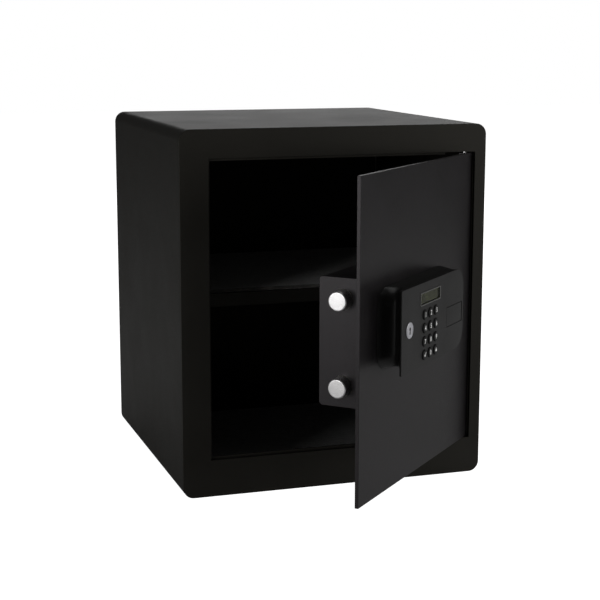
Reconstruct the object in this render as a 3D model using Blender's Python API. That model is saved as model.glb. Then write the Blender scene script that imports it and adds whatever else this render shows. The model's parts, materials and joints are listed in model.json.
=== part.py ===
"""Hotel room safe: steel cabinet, hinged door, motor lock, keypad fascia.

Run it in Blender. Lengths are given in millimetres and turned into Blender's
metres where a mesh is made. X runs to the right, Y to the back and Z up, with
the origin on the floor under the middle of the cabinet. Everything on the door
is drawn where it lies with the door shut, and hangs on an empty on the hinge
axis, which holds the door open by DOOR_ANGLE.
"""
import math

import bmesh
import bpy
from mathutils import Vector
from mathutils.geometry import tessellate_polygon

MM = 0.001
GAP = 0.3                       # air kept between pieces that touch
CURVE = 24                      # sides of a round piece

# Cabinet
WIDTH, DEPTH, HEIGHT = 350, 340, 400
SHEET = 2                       # thickness of the wrapped body sheet
EDGE_RADIUS = 12                # long edges of the wrapped sheet
FRONT, BACK = -DEPTH / 2, DEPTH / 2
FRAME = 4                       # front frame and door are cut from 4 mm plate
OPEN_LEFT, OPEN_RIGHT = -143.5, 162
OPEN_LOW, OPEN_HIGH = 41, 369
STOP_STEP, STOP_STEP_LEFT = 3, 2  # how far the door stop shows inside the opening
STOP = 2
INSIDE = WIDTH / 2 - SHEET      # half the clear width inside the sheet
REAR_RECESS = 4
ANCHOR_RADIUS = 6
ANCHOR_X, ANCHOR_Y = 90, 40

# Shelf and carpets
SHELF_FRONT, SHELF_BACK = -100, 160
SHELF_TOP = 212
SHELF_SHEET = 1.5
SHELF_LIP = 15
RAIL = 14                       # width of the ledge that carries the shelf
RAIL_DROP = 20
CARPET = 4

# Door and hinge
DOOR_LEFT, DOOR_RIGHT = -141.5, 160
DOOR_LOW, DOOR_HIGH = 42, 368
DOOR_BACK = FRONT + FRAME
DOOR_NOSE = 2.5                 # rounding of the hinge-side front edge
PIVOT_X, PIVOT_Y = 153, FRONT + 7.5
DOOR_ANGLE = 45
PIN_RADIUS = 2.25
BRACKET = 4

# Lock case behind the door
CASE_LEFT, CASE_RIGHT = -124, 62
CASE_LOW, CASE_HIGH = 137.5, 266.5
CASE_BACK = DOOR_BACK + 47.5
CASE_SHEET = 1.5
CASE_BEND = 4
MIDDLE = 202                    # height of the lock's centre line
BOLT_Y = FRONT + 26.2
BOLT_SPREAD = 43.2              # each bolt lies this far above or below MIDDLE
BOLT_RADIUS = 10
BOLT_CHAMFER = 1.2
BOLT_TIP, BOLT_TAIL = -137.4, -95

TRAY_LOW, TRAY_HIGH = CASE_LOW + 2.5, CASE_LOW + 64.5
CELL_PITCH = 14.6
BATTERY_SCREW = (30, TRAY_HIGH + 4.5)
RESET_BUTTON = (-20, 250)
CABLE_SLOT = (-38, 219, -18, 229)   # where the ribbon passes through the door

# Rack and pinion
TOOTH_MODULE = 1.25
PINION_TEETH = 12
PINION_X = -50
PITCH_RADIUS = TOOTH_MODULE * PINION_TEETH / 2
RACK_Y0, RACK_Y1 = -134, -126

# Fascia: "out" is the distance in front of the door's face
FASCIA_LEFT, FASCIA_RIGHT = -102, 65
FASCIA_LOW, FASCIA_HIGH = 169, 254
FASCIA_OUT = 27
FACE = 3
UNDERCUT = 2.3                  # how far the face plate's left side slopes in behind its edge
BASE_OUT = FASCIA_OUT - FACE - GAP
KEY_X, KEY_PITCH_X = -43.6, 14.8
KEY_Z, KEY_PITCH_Z = 221, 13.8
KEY_RADIUS = 5.2
KEY_OUT = FASCIA_OUT + 1.3
KEY_TRAVEL = 1.2
LCD_X0, LCD_X1, LCD_Z0, LCD_Z1 = -55.8, -1.5, 230.6, 244.6
LCD_RIM = 1.3
BADGE_X, BADGE_Z, BADGE_RADIUS = -83.4, 212, 8.3
FLAP_X0, FLAP_X1, FLAP_Z0, FLAP_Z1 = 17.5, 61, 197, 217.5
FLAP = 2.7
LOCK_X, LOCK_Z = 40, 207
POCKET_OUT = 14.4               # floor of the pocket behind the keys and display
POCKET = (-61, 172.1, 8, 250)


# ---------------------------------------------------------------- materials

def paint(name, colour, roughness, metallic=0.0, alpha=1.0):
    material = bpy.data.materials.new(name)
    material.use_nodes = True
    shader = material.node_tree.nodes["Principled BSDF"]
    shader.inputs["Base Color"].default_value = (*colour, 1)
    shader.inputs["Roughness"].default_value = roughness
    shader.inputs["Metallic"].default_value = metallic
    shader.inputs["Alpha"].default_value = alpha
    material.diffuse_color = (*colour, alpha)
    return material


def make_paints():
    return {
        "powder": paint("black_powder_coat", (0.012, 0.012, 0.013), 0.55),
        "plastic": paint("black_plastic", (0.015, 0.015, 0.017), 0.4),
        "rubber": paint("key_rubber", (0.01, 0.01, 0.01), 0.5),
        "chrome": paint("bright_steel", (0.75, 0.75, 0.76), 0.2, 1.0),
        "zinc": paint("zinc_steel", (0.5, 0.5, 0.5), 0.4, 1.0),
        "carpet": paint("black_carpet", (0.01, 0.01, 0.01), 0.95),
        "glass": paint("display_glass", (0.1, 0.11, 0.07), 0.1, 0.0, 0.5),
        "panel": paint("display_panel", (0.16, 0.18, 0.12), 0.35),
        "board": paint("circuit_board", (0.01, 0.09, 0.04), 0.5),
        "silicone": paint("silicone", (0.35, 0.35, 0.34), 0.6),
        "brass": paint("brass", (0.6, 0.45, 0.2), 0.35, 1.0),
        "nylon": paint("white_nylon", (0.7, 0.7, 0.66), 0.5),
        "cell": paint("battery_wrap", (0.05, 0.06, 0.1), 0.35),
        "red": paint("red_button", (0.5, 0.02, 0.02), 0.4),
        "cable": paint("ribbon_cable", (0.4, 0.4, 0.42), 0.5),
    }


# ----------------------------------------------------------------- outlines

def rect(u0, v0, u1, v1):
    return [(u0, v0), (u1, v0), (u1, v1), (u0, v1)]


def arc(u, v, radius, start, end, steps):
    """Points on a circle about (u, v), from one angle to another in degrees."""
    angles = [math.radians(start + (end - start) * i / steps) for i in range(steps + 1)]
    return [(u + radius * math.cos(a), v + radius * math.sin(a)) for a in angles]


def circle(u, v, radius, sides=CURVE):
    return arc(u, v, radius, 0, 360, sides)[:-1]


def soft_rect(u0, v0, u1, v1, radii, steps=5):
    """Rectangle with one radius per corner: low left, low right, top right, top left."""
    corners = [(u0, v0, 1, 1, 180), (u1, v0, -1, 1, 270), (u1, v1, -1, -1, 0), (u0, v1, 1, -1, 90)]
    points = []
    for (u, v, side, rise, start), radius in zip(corners, radii):
        if radius:
            points += arc(u + side * radius, v + rise * radius, radius, start, start + 90, steps)
        else:
            points.append((u, v))
    return points


# ------------------------------------------------------------------- solids

def to_space(axis, u, v, w):
    """A point of an outline (u, v) at height w along the axis."""
    return {"X": (w, u, v), "Y": (u, w, v), "Z": (u, v, w)}[axis]


def finish_mesh(name, points, faces):
    mesh = bpy.data.meshes.new(name)
    mesh.from_pydata([Vector(point) * MM for point in points], [], faces)
    shape = bmesh.new()
    shape.from_mesh(mesh)
    bmesh.ops.recalc_face_normals(shape, faces=shape.faces)
    shape.to_mesh(mesh)
    shape.free()
    mesh.shade_smooth()
    mesh.set_sharp_from_angle(angle=math.radians(35))
    solid = bpy.data.objects.new(name, mesh)
    bpy.context.collection.objects.link(solid)
    return solid


def prism(name, axis, low, high, outer, holes=()):
    """The outline, with its holes cut through, from low to high along the axis."""
    loops = [list(outer), *[list(hole) for hole in holes]]
    flat = [point for loop in loops for point in loop]
    count = len(flat)
    points = [to_space(axis, u, v, w) for w in (low, high) for u, v in flat]
    cap = [range(count)]
    if holes:
        cap = tessellate_polygon([[Vector((u, v, 0)) for u, v in loop] for loop in loops])
    faces = [tuple(face) for face in cap]
    faces += [tuple(i + count for i in reversed(face)) for face in cap]
    start = 0
    for loop in loops:
        size = len(loop)
        for i in range(size):
            a, b = start + i, start + (i + 1) % size
            faces.append((a, b, b + count, a + count))
        start += size
    return finish_mesh(name, points, faces)


def box(name, x0, y0, z0, x1, y1, z1):
    return prism(name, "Z", z0, z1, rect(x0, y0, x1, y1))


def loft(name, axis, levels):
    """Rings of equal size, each at its own height, joined by a skin and closed."""
    size = len(levels[0][1])
    points = [to_space(axis, u, v, w) for w, ring in levels for u, v in ring]
    faces = [tuple(range(size)), tuple(range((len(levels) - 1) * size, len(levels) * size))]
    for level in range(len(levels) - 1):
        for i in range(size):
            a, b = level * size + i, level * size + (i + 1) % size
            faces.append((a, b, b + size, a + size))
    return finish_mesh(name, points, faces)


def turned(name, axis, centre, profile, sides=CURVE):
    """A turned piece: the profile's (radius, height) pairs about an axis at centre."""
    return loft(name, axis, [(height, circle(*centre, radius, sides)) for radius, height in profile])


def ring(name, axis, centre, inner, outer, low, high, sides=CURVE):
    return prism(name, axis, low, high, circle(*centre, outer, sides), [circle(*centre, inner, sides)])


def combine(body, tool, operation):
    modifier = body.modifiers.new("combine", "BOOLEAN")
    modifier.solver = "EXACT"
    modifier.operation = operation
    modifier.object = tool
    bpy.context.view_layer.update()
    depsgraph = bpy.context.evaluated_depsgraph_get()
    result = bpy.data.meshes.new_from_object(body.evaluated_get(depsgraph))
    body.modifiers.clear()
    body.data = result
    bpy.data.objects.remove(tool)


def cut(body, *tools):
    for tool in tools:
        combine(body, tool, "DIFFERENCE")


def weld(body, *tools):
    for tool in tools:
        combine(body, tool, "UNION")


def coat(material, *solids):
    for solid in solids:
        solid.data.materials.clear()
        solid.data.materials.append(material)


# ------------------------------------------------------------------ cabinet

def make_cabinet(paints):
    half = WIDTH / 2
    inner = EDGE_RADIUS - SHEET
    liner = (INSIDE - GAP, SHEET + GAP, HEIGHT - SHEET - GAP, inner - GAP)

    shell = prism("body_shell", "Y", FRONT + FRAME + GAP, BACK,
                  soft_rect(-half, 0, half, HEIGHT, [EDGE_RADIUS] * 4, 8),
                  [soft_rect(-INSIDE, SHEET, INSIDE, HEIGHT - SHEET, [inner] * 4, 8)])
    for side in (-1, 1):
        cut(shell, turned("drill", "Z", (side * ANCHOR_X, ANCHOR_Y),
                          [(ANCHOR_RADIUS, -SHEET), (ANCHOR_RADIUS, 2 * SHEET)]))

    frame = prism("front_frame", "Y", FRONT, FRONT + FRAME,
                  soft_rect(-half, 0, half, HEIGHT, [EDGE_RADIUS] * 4, 8),
                  [rect(OPEN_LEFT, OPEN_LOW, OPEN_RIGHT, OPEN_HIGH)])

    reach, low, high, radius = liner
    back_face = BACK - REAR_RECESS
    back = prism("back_panel", "Y", back_face - SHEET, back_face,
                 soft_rect(-reach, low, reach, high, [radius] * 4))

    stop_y = FRONT + FRAME + GAP
    stop_end = PIVOT_X - 25
    stop_left = OPEN_LEFT + STOP_STEP_LEFT
    stop_low, stop_high = OPEN_LOW + STOP_STEP, OPEN_HIGH - STOP_STEP
    outline = soft_rect(-reach, low, stop_end, high, (radius, 0, 0, radius))
    split = outline.index((stop_end, low)) + 1
    outline[split:split] = [(stop_end, stop_low), (stop_left, stop_low),
                            (stop_left, stop_high), (stop_end, stop_high)]
    stop = prism("stop_frame", "Y", stop_y, stop_y + STOP, outline)

    rail_y = stop_y + STOP + GAP
    rail_end = BOLT_Y - BOLT_RADIUS - 0.7
    strike = prism("strike_rail", "Z", 60, 340,
                   [(stop_left - 24, rail_y), (stop_left, rail_y), (stop_left, rail_end),
                    (stop_left - STOP, rail_end), (stop_left - STOP, rail_y + STOP),
                    (stop_left - 24, rail_y + STOP)])
    coat(paints["powder"], shell, frame, back, stop, strike)


def make_hinge_brackets(paints):
    """The two angles behind the front frame that the hinge pins turn in."""
    near, far = DOOR_BACK + GAP, DOOR_BACK + 18
    left, right = PIVOT_X - 10, INSIDE - GAP
    for name, shelf_z, flange_z in (("hinge_bracket_top", 371, 390),
                                    ("hinge_bracket_bottom", 39, 20)):
        away = 1 if flange_z > shelf_z else -1
        bracket = prism(name, "X", left, right,
                        [(near, shelf_z), (far, shelf_z), (far, shelf_z + away * BRACKET),
                         (near + STOP, shelf_z + away * BRACKET), (near + STOP, flange_z),
                         (near, flange_z)])
        cut(bracket, turned("bore", "Z", (PIVOT_X, PIVOT_Y),
                            [(PIN_RADIUS + 0.35, shelf_z - 2 * BRACKET),
                             (PIN_RADIUS + 0.35, shelf_z + 2 * BRACKET)]))
        coat(paints["powder"], bracket)


def make_shelf(paints):
    wall = INSIDE - GAP
    shelf = prism("shelf", "X", 0.7 - wall, wall - 0.7,
                  [(SHELF_FRONT, SHELF_TOP - SHELF_LIP), (SHELF_FRONT + SHELF_SHEET, SHELF_TOP - SHELF_LIP),
                   (SHELF_FRONT + SHELF_SHEET, SHELF_TOP - SHELF_SHEET),
                   (SHELF_BACK, SHELF_TOP - SHELF_SHEET), (SHELF_BACK, SHELF_TOP),
                   (SHELF_FRONT, SHELF_TOP)])
    coat(paints["powder"], shelf)
    rail_top = SHELF_TOP - SHELF_SHEET - GAP
    for name, side in (("shelf_rail_left", -1), ("shelf_rail_right", 1)):
        rail = prism(name, "Y", SHELF_FRONT + 3, SHELF_BACK - 5,
                     [(side * wall, rail_top), (side * wall, rail_top - RAIL_DROP),
                      (side * (wall - SHELF_SHEET), rail_top - RAIL_DROP),
                      (side * (wall - SHELF_SHEET), rail_top - SHELF_SHEET),
                      (side * (wall - RAIL), rail_top - SHELF_SHEET),
                      (side * (wall - RAIL), rail_top)])
        coat(paints["powder"], rail)

    shelf_mat = prism("shelf_carpet", "Z", SHELF_TOP + GAP, SHELF_TOP + GAP + CARPET,
                      soft_rect(3 - wall, SHELF_FRONT + 2, wall - 3, SHELF_BACK - 1, [4] * 4))
    floor_mat = prism("floor_carpet", "Z", SHEET + GAP, SHEET + GAP + CARPET,
                      soft_rect(10 - wall, FRONT + 12, wall - 10, BACK - 10, [4] * 4))
    coat(paints["carpet"], shelf_mat, floor_mat)


# --------------------------------------------------------------------- door

def make_door_plate():
    """Flat plate with a rounded front edge on the hinge side, and its holes."""
    nose = arc(DOOR_RIGHT - DOOR_NOSE, FRONT + DOOR_NOSE, DOOR_NOSE, -90, 0, 5)
    plate = prism("door_plate", "Z", DOOR_LOW, DOOR_HIGH,
                  [(DOOR_LEFT, FRONT), *nose, (DOOR_RIGHT, DOOR_BACK), (DOOR_LEFT, DOOR_BACK)])
    cable = prism("cable_slot", "Y", FRONT - 5, FRONT + 10, rect(*CABLE_SLOT))
    key_hole = turned("key_hole", "Y", (LOCK_X, LOCK_Z), [(10, FRONT - 5), (10, FRONT + 10)])
    cut(plate, cable, key_hole)
    return plate


def make_hinge(paints):
    """Blocks on the back of the door, with the pins pressed into them."""
    solids = []
    for end, block_z, pin_z in (("top", (345, 367.5), (346, 375.6)),
                                ("bottom", (42.5, 65), (34.4, 64))):
        block = box(f"hinge_block_{end}", PIVOT_X - 5.5, DOOR_BACK + GAP, block_z[0],
                    PIVOT_X + 5, PIVOT_Y + 5, block_z[1])
        bore = turned("bore", "Z", (PIVOT_X, PIVOT_Y),
                      [(PIN_RADIUS + GAP, block_z[0] - 5), (PIN_RADIUS + GAP, block_z[1] + 5)])
        cut(block, bore)
        pin = turned(f"hinge_pin_{end}", "Z", (PIVOT_X, PIVOT_Y),
                     [(PIN_RADIUS - 0.5, pin_z[0]), (PIN_RADIUS, pin_z[0] + 0.5),
                      (PIN_RADIUS, pin_z[1] - 0.5), (PIN_RADIUS - 0.5, pin_z[1])])
        coat(paints["powder"], block)
        coat(paints["chrome"], pin)
        solids += [block, pin]
    return solids


# ---------------------------------------------------------------- lock case

def make_lock_case(paints):
    """Wrapped cover (top, back, bottom and right end) over a folded chassis."""
    near = DOOR_BACK + GAP
    top = [(near, CASE_HIGH)] + arc(CASE_BACK - CASE_BEND, CASE_HIGH - CASE_BEND, CASE_BEND, 90, 0, 4)
    low = arc(CASE_BACK - CASE_BEND, CASE_LOW + CASE_BEND, CASE_BEND, 0, -90, 4) + [(near, CASE_LOW)]
    cover = prism("lock_cover", "X", CASE_LEFT + CASE_SHEET + GAP, CASE_RIGHT, top + low)
    hollow_radius = CASE_BEND - CASE_SHEET
    hollow = prism("hollow", "X", CASE_LEFT - 5, CASE_RIGHT - CASE_SHEET,
                   soft_rect(near - 5, CASE_LOW + CASE_SHEET, CASE_BACK - CASE_SHEET,
                             CASE_HIGH - CASE_SHEET, (0, hollow_radius, hollow_radius, 0), 4))
    cut(cover, hollow)
    battery_door = prism("battery_door", "Y", CASE_BACK - 5, CASE_BACK + 5,
                         rect(4, TRAY_LOW + 5, 56, TRAY_HIGH - 3))
    button_hole = turned("button_hole", "Y", RESET_BUTTON, [(3.2, CASE_BACK - 5), (3.2, CASE_BACK + 5)], 16)
    screw_hole = turned("screw_hole", "Y", BATTERY_SCREW, [(1.8, CASE_BACK - 5), (1.8, CASE_BACK + 5)], 16)
    cut(cover, battery_door, button_hole, screw_hole)

    slack = CASE_SHEET + 0.8
    side = prism("lock_chassis", "X", CASE_LEFT, CASE_LEFT + CASE_SHEET,
                 soft_rect(near, CASE_LOW, CASE_BACK, CASE_HIGH, (0, CASE_BEND, CASE_BEND, 0), 4),
                 [circle(BOLT_Y, MIDDLE + s * BOLT_SPREAD, BOLT_RADIUS + 0.6, 32) for s in (-1, 1)])
    base = prism("base", "Y", near, near + CASE_SHEET,
                 rect(CASE_LEFT, CASE_LOW + slack, CASE_RIGHT - slack, CASE_HIGH - slack),
                 [rect(*CABLE_SLOT), circle(LOCK_X, LOCK_Z, 10)])
    weld(side, base)
    coat(paints["powder"], cover, side)
    return [cover, side]


def make_bolts(paints):
    """Two chromed bolts, their guides, and the carriage with its rack."""
    solids = []
    moving = []
    for name, side in (("upper", 1), ("lower", -1)):
        centre = (BOLT_Y, MIDDLE + side * BOLT_SPREAD)
        bolt = turned(f"bolt_{name}", "X", centre,
                      [(BOLT_RADIUS - BOLT_CHAMFER, BOLT_TIP), (BOLT_RADIUS, BOLT_TIP + BOLT_CHAMFER),
                       (BOLT_RADIUS, BOLT_TAIL)], 32)
        guide = ring(f"bolt_guide_{name}", "X", centre, BOLT_RADIUS + GAP, BOLT_RADIUS + 4,
                     CASE_LEFT + CASE_SHEET + GAP, CASE_LEFT + CASE_SHEET + 10, 32)
        coat(paints["chrome"], bolt)
        coat(paints["nylon"], guide)
        solids.append(guide)
        moving.append(bolt)

    bar = box("bolt_carriage", BOLT_TAIL + GAP, BOLT_Y - 9, MIDDLE - BOLT_SPREAD - 9,
              BOLT_TAIL + GAP + 3, RACK_Y1 + 1.5, MIDDLE + BOLT_SPREAD + 9)
    weld(bar, make_rack())
    coat(paints["zinc"], bar)
    return solids, moving + [bar]


def make_rack():
    """Straight toothed arm, teeth down, one gap centred over the pinion."""
    pitch = math.pi * TOOTH_MODULE
    add, ded = 0.8 * TOOTH_MODULE, 1.15 * TOOTH_MODULE
    first, last = PINION_X - 5 * pitch, PINION_X + 6 * pitch
    arm_top = MIDDLE + 10
    outline = [(last, arm_top), (BOLT_TAIL + 1, arm_top), (BOLT_TAIL + 1, MIDDLE + ded)]
    tooth = first + pitch / 2
    while tooth < last - pitch / 2:
        outline += [(tooth - 0.3 * pitch, MIDDLE + ded), (tooth - 0.13 * pitch, MIDDLE - add),
                    (tooth + 0.13 * pitch, MIDDLE - add), (tooth + 0.3 * pitch, MIDDLE + ded)]
        tooth += pitch
    outline.append((last, MIDDLE + ded))
    return prism("rack", "Y", RACK_Y0, RACK_Y1, outline)


def make_pinion(paints):
    """Twelve-tooth wheel under the rack, with its shaft into the motor."""
    centre = (PINION_X, MIDDLE - PITCH_RADIUS)
    add, ded = 0.8 * TOOTH_MODULE, 1.15 * TOOTH_MODULE
    step = 360 / PINION_TEETH
    outline = []
    for tooth in range(PINION_TEETH):
        middle = 90 + tooth * step
        outline += arc(*centre, PITCH_RADIUS - ded, middle - 0.34 * step, middle - 0.34 * step, 1)[:1]
        outline += arc(*centre, PITCH_RADIUS + add, middle - 0.09 * step, middle + 0.09 * step, 1)
        outline += arc(*centre, PITCH_RADIUS - ded, middle + 0.34 * step, middle + 0.34 * step, 1)[:1]
    wheel = prism("drive_pinion", "Y", RACK_Y0, RACK_Y1, outline)
    weld(wheel, turned("shaft", "Y", centre, [(2, RACK_Y0 - 9), (2, RACK_Y1 - 1)], 16))
    coat(paints["brass"], wheel)
    return wheel


def make_motor(paints):
    """Round motor with a flat gearbox; the pinion's shaft turns in its bore."""
    centre = (PINION_X, MIDDLE - PITCH_RADIUS)
    near = DOOR_BACK + 3
    motor = turned("gear_motor", "Y", centre, [(11, near), (12, near + 1), (12, near + 18)])
    gearbox_end = RACK_Y0 - 2
    weld(motor, box("gearbox", centre[0] - 13, near + 17, centre[1] - 13, centre[0] + 13, gearbox_end,
                    centre[1] + 13))
    cut(motor, turned("bore", "Y", centre, [(2 + GAP, gearbox_end - 8), (2 + GAP, gearbox_end + 5)], 16))
    coat(paints["zinc"], motor)
    return motor


def make_electronics(paints):
    """Control board, battery tray with four cells, their cover, and the ribbon."""
    board_y = DOOR_BACK + 6
    board = box("control_board", -95, board_y, 216, 22, board_y + 1.6, 261)
    for x0, z0, x1, z1, tall in ((-88, 222, -70, 240, 5), (-62, 224, -42, 244, 2.5),
                                 (-12, 221, 4, 229, 5), (-86, 246, -64, 256, 4)):
        weld(board, box("component", x0, board_y + 1, z0, x1, board_y + 1.6 + tall, z1))
    coat(paints["board"], board)

    tray_back = CASE_BACK - CASE_SHEET - 2.5 * GAP
    tray = box("battery_tray", 2.5, tray_back - 17, TRAY_LOW, 57.5, tray_back, TRAY_HIGH)
    cut(tray, box("pocket", 4, tray_back - 15.5, TRAY_LOW + 1.5, 56, tray_back + 5, TRAY_HIGH - 1.5))
    coat(paints["plastic"], tray)
    cells = []
    for index in range(4):
        centre = (tray_back - 7.6, TRAY_LOW + 8.9 + CELL_PITCH * index)
        cell = turned(f"battery_{index + 1}", "X", centre,
                      [(7.1, 4.8), (7.1, 53), (2.7, 53), (2.7, 54.6)], 20)
        coat(paints["cell"], cell)
        cells.append(cell)
    cover = prism("battery_cover", "Y", CASE_BACK + GAP, CASE_BACK + GAP + 2,
                  soft_rect(1, TRAY_LOW + 2, 59, TRAY_HIGH + 9, [3] * 4, 4),
                  [circle(*BATTERY_SCREW, 1.8, 16)])
    head = CASE_BACK + 2 * GAP + 2
    screw = turned("battery_cover_screw", "Y", BATTERY_SCREW,
                   [(1.5, CASE_BACK - 6), (1.5, head), (3, head), (3, head + 0.8), (2.2, head + 1.6)], 16)
    coat(paints["plastic"], cover)
    coat(paints["zinc"], screw)

    ribbon = box("ribbon_cable", -35, FRONT - POCKET_OUT - 2.4, 223.6, -21, board_y - GAP, 224.4)
    coat(paints["cable"], ribbon)
    return [board, tray, *cells, cover, screw, ribbon]


# ------------------------------------------------------------------- fascia

def base_ring(out):
    """The base's outline at one distance from the door: a waist on the left side
    that fingers reach into, and a right end that slopes back to the door."""
    share = out / BASE_OUT
    waist = 17 * math.sin(math.pi * share) ** 0.8 if 0 < share < 1 else 0
    slope = 21 * (1 - share ** 2)
    left = FASCIA_LEFT + 0.6 + waist + 1.5 * share
    shrink = 0.6 + 0.08 * waist
    left_radius = 22 - 12 * share
    right_radius = 20 + 4 * (1 - share)
    return soft_rect(left, FASCIA_LOW + shrink, FASCIA_RIGHT + slope - 0.6, FASCIA_HIGH - shrink,
                     (left_radius, right_radius, right_radius, left_radius), 6)


def make_fascia_base(paints):
    levels = 10
    rings = []
    for level in range(levels + 1):
        out = GAP + (BASE_OUT - GAP) * level / levels
        rings.append((FRONT - out, base_ring(BASE_OUT * level / levels)))
    base = loft("fascia_base", "Y", rings)
    front = FRONT - BASE_OUT
    pocket = prism("pocket", "Y", front - 5, FRONT - POCKET_OUT, soft_rect(*POCKET, [3] * 4, 3))
    cable = prism("cable_slot", "Y", FRONT - 18, FRONT + 5, rect(*CABLE_SLOT))
    barrel = turned("barrel_hole", "Y", (LOCK_X, LOCK_Z), [(9.6, front - 5), (9.6, FRONT + 5)])
    cut(base, pocket, cable, barrel)
    coat(paints["plastic"], base)
    return base


def key_centres():
    """Centres of the keys, row by row from the top, as (name, x, z)."""
    names = ("1", "2", "3", "4", "5", "6", "7", "8", "9", "enter", "0", "lock")
    for index, name in enumerate(names):
        row, column = divmod(index, 3)
        yield name, KEY_X + column * KEY_PITCH_X, KEY_Z - row * KEY_PITCH_Z


def make_face(paints):
    """Front plate with openings for the display, the keys and the flap."""
    front, rear = FRONT - FASCIA_OUT, FRONT - FASCIA_OUT + FACE
    holes = [circle(x, z, KEY_RADIUS + 0.4, 20) for _, x, z in key_centres()]
    holes.append(rect(LCD_X0, LCD_Z0, LCD_X1, LCD_Z1))
    holes.append(rect(FLAP_X0 - 0.4, FLAP_Z0 - 0.4, FLAP_X1 + 0.7, FLAP_Z1 + 0.4))
    face = prism("face_plate", "Y", front, rear,
                 soft_rect(FASCIA_LEFT, FASCIA_LOW, FASCIA_RIGHT, FASCIA_HIGH, (1.5, 20, 20, 1.5), 6), holes)
    cut(face, prism("undercut", "Z", FASCIA_LOW - 5, FASCIA_HIGH + 5,
                    [(FASCIA_LEFT - 2, front + 0.6), (FASCIA_LEFT, front + 0.6),
                     (FASCIA_LEFT + UNDERCUT, rear), (FASCIA_LEFT + UNDERCUT, rear + 2),
                     (FASCIA_LEFT - 2, rear + 2)]))
    coat(paints["plastic"], face)

    bezel = prism("lcd_bezel", "Y", front - 0.5, rear,
                  rect(LCD_X0 + GAP, LCD_Z0 + GAP, LCD_X1 - GAP, LCD_Z1 - GAP),
                  [rect(LCD_X0 + LCD_RIM, LCD_Z0 + LCD_RIM, LCD_X1 - LCD_RIM, LCD_Z1 - LCD_RIM)])
    rim = LCD_RIM + GAP
    window = box("lcd_window", LCD_X0 + rim, front + 0.8, LCD_Z0 + rim,
                 LCD_X1 - rim, front + 1.6, LCD_Z1 - rim)
    display = box("display_module", LCD_X0 - 2, rear + GAP, LCD_Z0 - 2.5, LCD_X1 + 2, rear + 4.5, LCD_Z1 + 4)
    weld(display, box("panel", LCD_X0 + rim, front + 1.9, LCD_Z0 + rim,
                      LCD_X1 - rim, rear + 1, LCD_Z1 - rim))
    badge = turned("badge", "Y", (BADGE_X, BADGE_Z),
                   [(BADGE_RADIUS, front - GAP), (BADGE_RADIUS, front - 0.7),
                    (BADGE_RADIUS - 0.4, front - 0.9)], 32)
    coat(paints["chrome"], bezel, badge)
    coat(paints["glass"], window)
    coat(paints["panel"], display)
    return [face, bezel, window, display, badge]


def make_keypad(paints):
    """Twelve keys with retaining flanges over a silicone mat and its board."""
    rear = FRONT - FASCIA_OUT + FACE
    keys = []
    for name, x, z in key_centres():
        key = turned(f"key_{name}", "Y", (x, z),
                     [(KEY_RADIUS + 0.9, rear + 1.5), (KEY_RADIUS + 0.9, rear + GAP),
                      (KEY_RADIUS, rear + GAP), (KEY_RADIUS, FRONT - KEY_OUT + 0.6),
                      (KEY_RADIUS - 0.6, FRONT - KEY_OUT)], 20)
        coat(paints["rubber"], key)
        keys.append((key, (x, FRONT - KEY_OUT, z)))
    low, high = KEY_Z - 3 * KEY_PITCH_Z - 7, KEY_Z + 6.2
    left, right = KEY_X - 8, KEY_X + 2 * KEY_PITCH_X + 8
    mat_y = rear + 1.5 + KEY_TRAVEL + GAP
    mat = box("keypad_mat", left, mat_y, low, right, mat_y + 2, high)
    board = box("keypad_board", left - 4, mat_y + 2 + GAP, low, right + 4, mat_y + 3.9, high)
    coat(paints["silicone"], mat)
    coat(paints["board"], board)
    return keys, [mat, board]


def make_override(paints):
    """Emergency lock under the flap: fixed barrel, turning plug with a cam."""
    face = FRONT - BASE_OUT
    centre = (LOCK_X, LOCK_Z)
    barrel = ring("override_barrel", "Y", centre, 6 + GAP, 9.2, face + GAP, DOOR_BACK + 12)
    plug = turned("override_plug", "Y", centre, [(6, face + GAP), (6, DOOR_BACK + 15)])
    weld(plug, prism("cam", "Y", DOOR_BACK + 13, DOOR_BACK + 15.5,
                     soft_rect(LOCK_X - 5, LOCK_Z - 16, LOCK_X + 5, LOCK_Z + 7, [4] * 4, 3)))
    cut(plug, box("keyway", LOCK_X - 0.9, face - 5, LOCK_Z - 4, LOCK_X + 0.9, face + 18, LOCK_Z + 4))
    coat(paints["brass"], barrel)
    coat(paints["chrome"], plug)
    return barrel, plug


def make_flap(paints):
    """Cover over the emergency lock; its right edge is the round hinge side."""
    front = FRONT - FASCIA_OUT
    radius = FLAP / 2
    axis_x, axis_y = FLAP_X1 - radius, front + radius
    flap = prism("key_flap", "Z", FLAP_Z0, FLAP_Z1,
                 [(FLAP_X0, front), *arc(axis_x, axis_y, radius, -90, 90, 8), (FLAP_X0, front + FLAP)])
    coat(paints["plastic"], flap)
    return flap, (axis_x, axis_y, (FLAP_Z0 + FLAP_Z1) / 2)


def make_reset_button(paints):
    button = turned("reset_button", "Y", RESET_BUTTON,
                    [(4.4, CASE_BACK - 8), (4.4, CASE_BACK - 4), (2.8, CASE_BACK - 4),
                     (2.8, CASE_BACK + 1.4), (2.2, CASE_BACK + 2)], 16)
    coat(paints["red"], button)
    return button


# ----------------------------------------------------------------- assembly

def hang(solid, hinge, origin):
    """Give the solid its origin (mm, door shut) and hang it on the hinge empty."""
    centre = Vector(origin) * MM
    solid.data.transform(solid.matrix_world.inverted())
    for vertex in solid.data.vertices:
        vertex.co -= centre
    solid.parent = hinge
    solid.location = centre - Vector((PIVOT_X, PIVOT_Y, 0)) * MM


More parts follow.
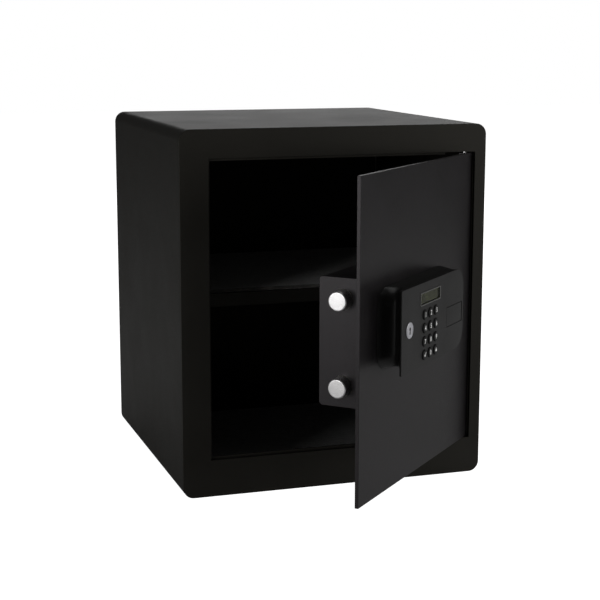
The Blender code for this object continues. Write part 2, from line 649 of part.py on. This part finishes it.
def make_door(paints):
    hinge = bpy.data.objects.new("door_hinge_axis", None)
    bpy.context.collection.objects.link(hinge)
    hinge.location = Vector((PIVOT_X, PIVOT_Y, 0)) * MM
    hinge.rotation_euler.z = math.radians(DOOR_ANGLE)

    plate = make_door_plate()
    coat(paints["powder"], plate)
    guides, bolt_work = make_bolts(paints)
    keys, keypad = make_keypad(paints)
    barrel, plug = make_override(paints)
    flap, flap_axis = make_flap(paints)
    fixed = [plate, *make_hinge(paints), *make_lock_case(paints), *guides, make_motor(paints),
             *make_electronics(paints), make_fascia_base(paints), *make_face(paints), *keypad, barrel]
    for solid in fixed:
        hang(solid, hinge, (PIVOT_X, PIVOT_Y, 0))
    for solid in bolt_work:
        hang(solid, hinge, (BOLT_TIP, BOLT_Y, MIDDLE))
    hang(make_pinion(paints), hinge, (PINION_X, RACK_Y0, MIDDLE - PITCH_RADIUS))
    for key, origin in keys:
        hang(key, hinge, origin)
    hang(plug, hinge, (LOCK_X, FRONT, LOCK_Z))
    hang(flap, hinge, flap_axis)
    hang(make_reset_button(paints), hinge, (RESET_BUTTON[0], CASE_BACK, RESET_BUTTON[1]))


def main():
    for old in list(bpy.data.objects):
        bpy.data.objects.remove(old)
    paints = make_paints()
    make_cabinet(paints)
    make_hinge_brackets(paints)
    make_shelf(paints)
    make_door(paints)


main()
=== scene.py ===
"""Looks of the hotel room safe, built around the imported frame.

Pieces on the door are drawn where they lie with the door shut and then turned to
the rest pose with DOOR, which comes from the frame's own hinge. Sizes in metres.
"""
import json
import math

import bmesh
import bpy
from mathutils import Matrix, Vector
from mathutils.noise import noise as noise_value


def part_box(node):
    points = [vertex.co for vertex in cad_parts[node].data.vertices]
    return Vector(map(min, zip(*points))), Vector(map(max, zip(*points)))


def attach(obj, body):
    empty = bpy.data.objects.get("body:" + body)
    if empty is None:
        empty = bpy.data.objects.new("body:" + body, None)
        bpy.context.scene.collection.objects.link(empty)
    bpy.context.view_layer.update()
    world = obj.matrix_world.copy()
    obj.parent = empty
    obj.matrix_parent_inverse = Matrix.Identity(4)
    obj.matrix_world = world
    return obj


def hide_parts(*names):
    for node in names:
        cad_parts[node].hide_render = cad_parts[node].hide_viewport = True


MM = 0.001

# Camera: angles in degrees, places in metres, lens and sensor in millimetres
AZIMUTH, ELEVATION, ROLL = -18.169, 10.526, 0.078
AIM = (-0.04236, -0.170, 0.21291)
DISTANCE = 1.603
LENS, SENSOR = 88.456, 36

# Edges of the CAD nodes, in millimetres
EDGE, KEY_EDGE = 0.4, 0.25
WELD_REACH = 0.002

# Printed marks on the keys and the badge's relief, in millimetres
FIGURE_HEIGHT = 5
SIZE_PER_HEIGHT = 1.38          # font size over the height of a figure
FIGURE_RAISE, FIGURE_BOLD = 0.04, 0.1
PRINT_LOW, PRINT_HIGH = -0.02, 0.05
TICK_PEN = 0.95
RIM_INNER, RIM_OUTER, RIM_HIGH = 7.2, 7.8, 0.18
RELIEF_LOW, KEYHOLE_HIGH = -0.05, 0.06

# Felt mats: heights in millimetres, rates per metre; waves make the upper side uneven
FELT_CELL = 1.8
FINE_WAVE, FINE_RATE = 0.55, 420
BROAD_WAVE, BROAD_RATE = 0.35, 130
FELT_SINK, EDGE_DROP = 0.15, 0.8

# Lights: place, aim, size and power
LIGHTS = {
    "top_light": ((0.8, -0.2, 2.0), (0, -0.1, 0.3), (1.6, 1.4), 8),
    "left_light": ((-2.1, -1.15, 0.5), (-0.1, -0.35, 0.2), (1.6, 1.0), 21),
    "right_light": ((2.2, -0.95, 0.4), (0, -0.3, 0.2), (0.8, 0.8), 8),
    "front_light": ((1.7, -2.4, 0.6), (0, -0.2, 0.2), (1.2, 1.2), 13),
    "back_light": ((1.3, 2.7, 0.95), (0, 0, 0.4), (2.2, 1.2), 11),
}
GLOW = 0.06                     # light from the surround
WHITE = (1, 1, 1, 1)

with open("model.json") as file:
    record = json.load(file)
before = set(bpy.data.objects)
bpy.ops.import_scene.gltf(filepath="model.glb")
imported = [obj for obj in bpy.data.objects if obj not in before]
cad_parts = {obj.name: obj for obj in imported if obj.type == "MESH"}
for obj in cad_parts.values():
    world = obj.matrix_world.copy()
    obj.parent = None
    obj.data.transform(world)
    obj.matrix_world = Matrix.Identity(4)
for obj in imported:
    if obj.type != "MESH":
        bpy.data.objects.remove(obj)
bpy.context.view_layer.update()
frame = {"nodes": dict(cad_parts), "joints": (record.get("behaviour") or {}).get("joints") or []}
NODES = frame["nodes"]

HINGE = next(joint for joint in frame["joints"] if joint["name"] == "door_hinge")
PIVOT = Vector((HINGE["pos_m"][0], HINGE["pos_m"][1], 0))
REST_ANGLE = -math.radians(HINGE["range_deg"][0])
DOOR = Matrix.Translation(PIVOT) @ Matrix.Rotation(REST_ANGLE, 4, "Z") @ Matrix.Translation(-PIVOT)
SHUT = DOOR.inverted()


def shut_box(name):
    """Lowest and highest corner of a door node, with the door shut."""
    points = [SHUT @ vertex.co for vertex in NODES[name].data.vertices]
    low = Vector([min(point[i] for point in points) for i in range(3)])
    high = Vector([max(point[i] for point in points) for i in range(3)])
    return low, high


# ------------------------------------------------------------------- camera

def make_camera():
    """The view of the photograph: slightly from the left and from above."""
    azimuth, elevation, roll = math.radians(AZIMUTH), math.radians(ELEVATION), math.radians(ROLL)
    back = Vector((math.sin(azimuth) * math.cos(elevation),
                   -math.cos(azimuth) * math.cos(elevation), math.sin(elevation)))
    right = (-back).cross(Vector((0, 0, 1))).normalized()
    up = right.cross(-back)
    side = math.cos(roll) * right + math.sin(roll) * up
    top = math.cos(roll) * up - math.sin(roll) * right
    data = bpy.data.cameras.new("camera")
    data.lens = LENS
    data.sensor_width = SENSOR
    data.clip_start = 0.05
    camera = bpy.data.objects.new("camera", data)
    turn = Matrix((side, top, back)).transposed().to_4x4()
    camera.matrix_world = Matrix.Translation(Vector(AIM) + back * DISTANCE) @ turn
    bpy.context.scene.collection.objects.link(camera)
    bpy.context.scene.camera = camera


# ---------------------------------------------------------------- materials

def node(tree, kind, inputs=None, **settings):
    """A new shader node; an input is either a plain value or another node's output."""
    made = tree.nodes.new("ShaderNode" + kind)
    for name, value in settings.items():
        setattr(made, name, value)
    for name, value in (inputs or {}).items():
        socket = made.inputs[name]
        if isinstance(value, bpy.types.NodeSocket):
            tree.links.new(value, socket)
        else:
            socket.default_value = value
    return made


def surface(name, colour, roughness, metallic=0.0, **extra):
    """A Principled material with its constant values set on its own sockets."""
    material = bpy.data.materials.new(name)
    material.use_nodes = True
    tree = material.node_tree
    shader = tree.nodes["Principled BSDF"]
    shader.inputs["Base Color"].default_value = (*colour, 1)
    shader.inputs["Roughness"].default_value = roughness
    shader.inputs["Metallic"].default_value = metallic
    for socket, value in extra.items():
        shader.inputs[socket.replace("_", " ")].default_value = value
    return material, tree, shader


def noise(tree, scale, detail=2.0, roughness=0.5):
    """Noise of about one blob per 1/scale metre, from 0 to 1."""
    place = node(tree, "TexCoord").outputs["Object"]
    return node(tree, "TexNoise", {"Vector": place, "Scale": scale, "Detail": detail,
                                   "Roughness": roughness}).outputs["Fac"]


def spread(tree, value, low, high, start=0.3, end=0.7):
    """Maps a noise value to the range low to high."""
    return node(tree, "MapRange", {"Value": value, "From Min": start, "From Max": end,
                                   "To Min": low, "To Max": high}).outputs["Result"]


def bump(tree, shader, height, distance, strength=1.0, under=None):
    """Relief of the given depth in metres, on top of an earlier one if there is one."""
    inputs = {"Height": height, "Distance": distance, "Strength": strength}
    if under is not None:
        inputs["Normal"] = under
    made = node(tree, "Bump", inputs)
    tree.links.new(made.outputs["Normal"], shader.inputs["Normal"])
    return made.outputs["Normal"]


def shade(tree, shader, dark, light, value):
    """Base colour between two tones, following a value from 0 to 1."""
    mix = node(tree, "Mix", {"Factor": value}, data_type="RGBA")
    mix.inputs["A"].default_value = (*dark, 1)
    mix.inputs["B"].default_value = (*light, 1)
    tree.links.new(mix.outputs["Result"], shader.inputs["Base Color"])


def powder_coat(name, colour, roughness=0.5, tint=(1, 1, 1, 1)):
    """Black powder coat: fine pebbled grain, faint mottling, slightly uneven gloss."""
    material, tree, shader = surface(name, colour, roughness, Specular_IOR_Level=0.25, Specular_Tint=tint)
    mottle = noise(tree, 14, 3)
    grain = noise(tree, 1500, 2, 0.6)
    place = node(tree, "TexCoord").outputs["Object"]
    pebble = node(tree, "TexVoronoi", {"Vector": place, "Scale": 900},
                  feature="SMOOTH_F1").outputs["Distance"]
    light = tuple(channel * 1.5 for channel in colour)
    shade(tree, shader, colour, light, spread(tree, mottle, 0, 1))
    patch = spread(tree, mottle, -0.03, 0.03)
    fine = spread(tree, grain, roughness - 0.07, roughness + 0.07)
    uneven = node(tree, "Math", {0: patch, 1: fine}, operation="ADD").outputs["Value"]
    tree.links.new(uneven, shader.inputs["Roughness"])
    first = bump(tree, shader, pebble, 0.00012, 0.5)
    bump(tree, shader, grain, 0.0001, 0.5, first)
    return material


def moulded(name, colour, roughness=0.38, grain_scale=2600, depth=0.00005):
    """Injection-moulded plastic with a fine spark-eroded grain."""
    material, tree, shader = surface(name, colour, roughness, Specular_IOR_Level=0.2)
    grain = noise(tree, grain_scale, 2, 0.6)
    smear = noise(tree, 22, 3)
    light = tuple(channel * 1.35 for channel in colour)
    shade(tree, shader, colour, light, spread(tree, smear, 0, 1))
    tree.links.new(spread(tree, smear, roughness - 0.05, roughness + 0.06), shader.inputs["Roughness"])
    bump(tree, shader, grain, depth, 0.6)
    return material


def plated(name, colour, roughness, stretch=(60, 60, 900), depth=0.00002):
    """Bright or zinc-plated metal with drawn lines and faint stains."""
    material, tree, shader = surface(name, colour, roughness, 1.0)
    place = node(tree, "TexCoord").outputs["Object"]
    drawn = node(tree, "Mapping", {"Vector": place, "Scale": stretch}).outputs["Vector"]
    lines = node(tree, "TexNoise", {"Vector": drawn, "Scale": 8, "Detail": 3}).outputs["Fac"]
    stain = noise(tree, 60, 3)
    shade(tree, shader, tuple(channel * 0.86 for channel in colour), colour, spread(tree, stain, 0, 1))
    tree.links.new(spread(tree, lines, roughness * 0.75, roughness * 1.3), shader.inputs["Roughness"])
    bump(tree, shader, lines, depth, 0.4)
    return material


def carpet_pile(name, colour):
    """Needle-punched felt: matted fibres in two sizes, with a faint sheen."""
    material, tree, shader = surface(name, colour, 0.95, Sheen_Weight=0.5, Sheen_Roughness=0.5)
    fibre = noise(tree, 700, 5, 0.8)
    clump = noise(tree, 110, 4, 0.7)
    light = tuple(channel * 8 for channel in colour)
    both = node(tree, "Math", {0: fibre, 1: clump}, operation="MULTIPLY").outputs["Value"]
    shade(tree, shader, colour, light, spread(tree, both, 0, 1, 0.2, 0.42))
    bump(tree, shader, fibre, 0.0008, 0.9)
    return material


def make_materials():
    looks = {
        "powder": powder_coat("cabinet_powder_coat", (0.0062, 0.0059, 0.0050), 0.5, (1, 0.95, 0.84, 1)),
        "door": powder_coat("door_powder_coat", (0.0088, 0.0079, 0.0084), 0.33, (1, 0.95, 0.98, 1)),
        "plastic": moulded("fascia_plastic", (0.0090, 0.0088, 0.0086), 0.34),
        "key": moulded("key_plastic", (0.004, 0.004, 0.004), 0.42, 3200),
        "bezel": plated("bezel_silver", (0.3, 0.3, 0.29), 0.3),
        "legend": moulded("legend_print", (0.9, 0.9, 0.88), 0.5, 4000, 0.00001),
        "bright": plated("bright_steel", (0.68, 0.67, 0.67), 0.28),
        "zinc": plated("zinc_plate", (0.46, 0.46, 0.47), 0.36),
        "brass": plated("machined_brass", (0.62, 0.44, 0.19), 0.3),
        "badge": plated("badge_silver", (0.78, 0.78, 0.82), 0.34),
        "ink": moulded("badge_ink", (0.02, 0.02, 0.022), 0.3, 3000, 0.00001),
        "carpet": carpet_pile("black_felt", (0.009, 0.0084, 0.007)),
        "panel": moulded("display_panel", (0.015, 0.0155, 0.004), 0.45, 3000, 0.00001),
        "board": moulded("solder_mask", (0.01, 0.09, 0.04), 0.3, 800),
        "silicone": moulded("keypad_silicone", (0.3, 0.3, 0.29), 0.6),
        "nylon": moulded("white_nylon", (0.62, 0.61, 0.56), 0.45),
        "cell": moulded("battery_sleeve", (0.03, 0.035, 0.06), 0.3),
        "red": moulded("red_plastic", (0.42, 0.015, 0.015), 0.3),
        "ribbon": moulded("ribbon_sheath", (0.3, 0.3, 0.32), 0.5),
    }
    glass, _, _ = surface("display_glass", (0.62, 0.66, 0.42), 0.08, Transmission_Weight=1.0, IOR=1.2)
    looks["glass"] = glass
    return looks


# ---------------------------------------------------------------- CAD nodes

def is_key(name):
    """True for the twelve keys, and not for the flap over the emergency lock."""
    return name.startswith("key_") and name != "key_flap"


def dress(name, material, width):
    """Gives a CAD node its material and softly rounded edges."""
    solid = NODES[name]
    mesh = solid.data
    mesh.materials.clear()
    mesh.materials.append(material)
    for layer in ("custom_normal", "sharp_edge", "sharp_face"):
        if layer in mesh.attributes:
            mesh.attributes.remove(mesh.attributes[layer])
    weld = solid.modifiers.new("weld", "WELD")
    weld.merge_threshold = WELD_REACH * MM
    flat = solid.modifiers.new("flat_faces", "DECIMATE")
    flat.decimate_type = "DISSOLVE"
    flat.angle_limit = math.radians(0.5)
    bevel = solid.modifiers.new("soft_edges", "BEVEL")
    bevel.width = width
    bevel.segments = 2
    bevel.limit_method = "ANGLE"
    bevel.angle_limit = math.radians(35)
    normals = solid.modifiers.new("even_normals", "WEIGHTED_NORMAL")
    normals.keep_sharp = True
    mesh.shade_smooth()


def dress_all(looks):
    """Every CAD node's look, and its edge width where that isn't the usual one."""
    plan = {
        "powder": ("body_shell", "front_frame", "back_panel", "stop_frame", "strike_rail",
                   "hinge_bracket_top", "hinge_bracket_bottom", "shelf", "shelf_rail_left",
                   "shelf_rail_right"),
        "door": ("door_plate", "hinge_block_top", "hinge_block_bottom", "lock_chassis", "lock_cover"),
        "plastic": ("fascia_base", "face_plate", "battery_cover", "battery_tray", "key_flap"),
        "bezel": ("lcd_bezel",),
        "bright": ("bolt_upper", "bolt_lower", "hinge_pin_top", "hinge_pin_bottom", "override_plug"),
        "zinc": ("bolt_carriage", "gear_motor", "battery_cover_screw"),
        "brass": ("drive_pinion", "override_barrel"),
        "badge": ("badge",),
        "panel": ("display_module",),
        "glass": ("lcd_window",),
        "board": ("control_board", "keypad_board"),
        "silicone": ("keypad_mat",),
        "nylon": ("bolt_guide_upper", "bolt_guide_lower"),
        "cell": tuple(f"battery_{i}" for i in range(1, 5)),
        "red": ("reset_button",),
        "ribbon": ("ribbon_cable",),
        "key": tuple(name for name in NODES if is_key(name)),
    }
    edges = {"battery_cover_screw": 0.15, "ribbon_cable": 0.1, "lcd_window": 0.1, "lcd_bezel": 0.15,
             "badge": 0.2, "drive_pinion": 0.1, "override_plug": 0.15, "control_board": 0.15,
             "keypad_board": 0.15, "bolt_carriage": 0.15, "front_frame": 0.35, "door_plate": 0.6,
             "face_plate": 0.25, "body_shell": 0.5}
    for look, names in plan.items():
        for name in names:
            usual = KEY_EDGE if look == "key" else EDGE
            dress(name, looks[look], edges.get(name, usual) * MM)


# ------------------------------------------------------------------ details

def piece(name, mesh, material, body):
    """A new piece that moves with the body it sits on."""
    made = bpy.data.objects.new(name, mesh)
    bpy.context.scene.collection.objects.link(made)
    mesh.materials.clear()
    mesh.materials.append(material)
    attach(made, body)
    return made


def to_door(mesh, place):
    """Turns a flat drawing (X right, Y up, Z out) onto the door at a shut-door place."""
    for vertex in mesh.vertices:
        right, up, out = vertex.co
        vertex.co = DOOR @ (place + Vector((right, -out, up)))


def figure(text, height):
    """A printed figure as a thin mesh."""
    curve = bpy.data.curves.new("figure_curve", "FONT")
    curve.body = text
    curve.size = height * SIZE_PER_HEIGHT
    curve.align_x = "CENTER"
    curve.extrude = FIGURE_RAISE * MM
    curve.offset = FIGURE_BOLD * MM
    holder = bpy.data.objects.new("figure_holder", curve)
    bpy.context.scene.collection.objects.link(holder)
    bpy.context.view_layer.update()
    mesh = bpy.data.meshes.new_from_object(holder)
    bpy.data.objects.remove(holder)
    low = min(vertex.co.y for vertex in mesh.vertices)
    high = max(vertex.co.y for vertex in mesh.vertices)
    left = min(vertex.co.x for vertex in mesh.vertices)
    right = max(vertex.co.x for vertex in mesh.vertices)
    for vertex in mesh.vertices:
        vertex.co.x -= (left + right) / 2
        vertex.co.y -= (low + high) / 2
    return mesh


def plates(outlines, low, high):
    """Flat outlines in millimetres, each raised into a thin plate."""
    shape = bmesh.new()
    for outline in outlines:
        rows = [[shape.verts.new((u * MM, v * MM, level * MM)) for u, v in outline]
                for level in (low, high)]
        shape.faces.new(reversed(rows[0]))
        shape.faces.new(rows[1])
        for i in range(len(outline)):
            j = (i + 1) % len(outline)
            shape.faces.new((rows[0][i], rows[0][j], rows[1][j], rows[1][i]))
    bmesh.ops.recalc_face_normals(shape, faces=shape.faces)
    mesh = bpy.data.meshes.new("plates")
    shape.to_mesh(mesh)
    shape.free()
    return mesh


def strokes(line, width):
    """The outlines of a pen line through the given points."""
    made = []
    for (u0, v0), (u1, v1) in zip(line, line[1:]):
        length = math.hypot(u1 - u0, v1 - v0)
        along = ((u1 - u0) / length * width / 2, (v1 - v0) / length * width / 2)
        across = (-along[1], along[0])
        made.append([(u0 - along[0] + across[0], v0 - along[1] + across[1]),
                     (u0 - along[0] - across[0], v0 - along[1] - across[1]),
                     (u1 + along[0] - across[0], v1 + along[1] - across[1]),
                     (u1 + along[0] + across[0], v1 + along[1] + across[1])])
    return made


def bow(u, v, radius, start, end, steps):
    """Points on a circle about (u, v), from one angle to another in degrees."""
    turns = [math.radians(start + (end - start) * i / steps) for i in range(steps + 1)]
    return [(u + radius * math.cos(turn), v + radius * math.sin(turn)) for turn in turns]


def band(u, v, inner, outer, start, end, steps):
    """A flat arc between two radii, as one outline for each step."""
    far, near = bow(u, v, outer, start, end, steps), bow(u, v, inner, start, end, steps)
    return [[far[i], far[i + 1], near[i + 1], near[i]] for i in range(steps)]


def face_centre(name):
    """Middle of the front face of a door node, with the door shut."""
    low, high = shut_box(name)
    return Vector(((low.x + high.x) / 2, low.y, (low.z + high.z) / 2))


def make_legends(looks):
    """White figures on the ten number keys, a tick and a padlock on the other two."""
    lock = [[(-1.6, -1.9), (1.6, -1.9), (1.6, 0.5), (-1.6, 0.5)]]
    lock += band(0, 0.5, 0.75, 1.25, 0, 180, 8)
    tick = strokes([(-1.8, 0.1), (-0.5, -1.5), (1.9, 1.8)], TICK_PEN)
    symbols = {"enter": tick, "lock": lock}
    for key in [name for name in NODES if is_key(name)]:
        mark = key.split("_")[1]
        if mark in symbols:
            mesh = plates(symbols[mark], PRINT_LOW, PRINT_HIGH)
        else:
            mesh = figure(mark, FIGURE_HEIGHT * MM)
        to_door(mesh, face_centre(key))
        piece(f"legend_{mark}", mesh, looks["legend"], key)


def make_emblem(looks):
    """Generic badge face: a raised rim and a plain keyhole."""
    place = face_centre("badge")
    rim = plates(band(0, 0, RIM_INNER, RIM_OUTER, 0, 360, 40), RELIEF_LOW, RIM_HIGH)
    to_door(rim, place)
    piece("badge_rim", rim, looks["badge"], "door")
    hole = bow(0, 1.2, 1.9, -62, 242, 22) + [(-1.7, -4), (1.7, -4)]
    keyhole = plates([hole], RELIEF_LOW, KEYHOLE_HIGH)
    to_door(keyhole, place)
    piece("badge_keyhole", keyhole, looks["ink"], "door")


def make_felt(looks, name):
    """A felt mat on the CAD slab's outline, with an uneven, fibrous upper side."""
    low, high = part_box(name)
    size = [high[i] - low[i] for i in range(2)]
    cells = [round(size[i] / (FELT_CELL * MM)) for i in range(2)]
    shape = bmesh.new()
    levels = []
    for upper in (False, True):
        grid = []
        for i in range(cells[0] + 1):
            row = []
            for j in range(cells[1] + 1):
                x = low[0] + size[0] * i / cells[0]
                y = low[1] + size[1] * j / cells[1]
                z = low[2]
                if upper:
                    wave = FINE_WAVE * noise_value(Vector((x, y, 0)) * FINE_RATE)
                    wave += BROAD_WAVE * noise_value(Vector((x, y, 3)) * BROAD_RATE)
                    at_edge = i in (0, cells[0]) or j in (0, cells[1])
                    z = high[2] + (wave - FELT_SINK) * MM - (EDGE_DROP * MM if at_edge else 0)
                row.append(shape.verts.new((x, y, z)))
            grid.append(row)
        levels.append(grid)
    for upper, grid in enumerate(levels):
        for i in range(cells[0]):
            for j in range(cells[1]):
                loop = (grid[i][j], grid[i + 1][j], grid[i + 1][j + 1], grid[i][j + 1])
                shape.faces.new(loop if upper else reversed(loop))
    wide, deep = cells
    border = [(i, 0) for i in range(wide)] + [(wide, j) for j in range(deep)]
    border += [(i, deep) for i in range(wide, 0, -1)] + [(0, j) for j in range(deep, 0, -1)]
    for (i, j), (k, m) in zip(border, border[1:] + border[:1]):
        shape.faces.new((levels[0][i][j], levels[0][k][m], levels[1][k][m], levels[1][i][j]))
    mesh = bpy.data.meshes.new(name + "_felt")
    shape.to_mesh(mesh)
    shape.free()
    mesh.shade_smooth()
    felt = piece(name + "_felt", mesh, looks["carpet"], "cabinet")
    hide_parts(name)


# -------------------------------------------------------------------- stage

def softbox(name, place, aim, size, power):
    """A rectangular area light, turned towards its aim."""
    data = bpy.data.lights.new(name, "AREA")
    data.shape = "RECTANGLE"
    data.size, data.size_y = size
    data.energy = power
    lamp = bpy.data.objects.new(name, data)
    lamp.location = place
    lamp.rotation_euler = (Vector(aim) - Vector(place)).to_track_quat("-Z", "Y").to_euler()
    bpy.context.scene.collection.objects.link(lamp)


def make_stage():
    """Pale floor, soft studio light and a pale surround, both white to the camera."""
    bpy.ops.mesh.primitive_plane_add(size=14)
    floor = bpy.context.object
    floor.name = "studio_floor"
    paint, tree, shader = surface("studio_floor", (0.92, 0.92, 0.92), 0.8)
    shade(tree, shader, (0.84, 0.84, 0.84), (0.86, 0.86, 0.86), noise(tree, 2))
    shader.inputs["Emission Color"].default_value = WHITE
    tree.links.new(node(tree, "LightPath").outputs["Is Camera Ray"], shader.inputs["Emission Strength"])
    floor.data.materials.append(paint)

    for name, settings in LIGHTS.items():
        softbox(name, *settings)

    world = bpy.data.worlds.new("studio")
    bpy.context.scene.world = world
    world.use_nodes = True
    tree = world.node_tree
    tree.nodes.clear()
    path = node(tree, "LightPath")
    seen = node(tree, "Background", {"Color": WHITE, "Strength": 1.0})
    glow = node(tree, "Background", {"Color": WHITE, "Strength": GLOW})
    both = node(tree, "MixShader", {0: path.outputs["Is Camera Ray"]})
    tree.links.new(glow.outputs[0], both.inputs[1])
    tree.links.new(seen.outputs[0], both.inputs[2])
    out = node(tree, "OutputWorld")
    tree.links.new(both.outputs[0], out.inputs["Surface"])
    bpy.context.scene.view_settings.view_transform = "Standard"


# --------------------------------------------------------------------- main

make_camera()
looks = make_materials()
dress_all(looks)
make_legends(looks)
make_emblem(looks)
make_felt(looks, "shelf_carpet")
make_felt(looks, "floor_carpet")
make_stage()
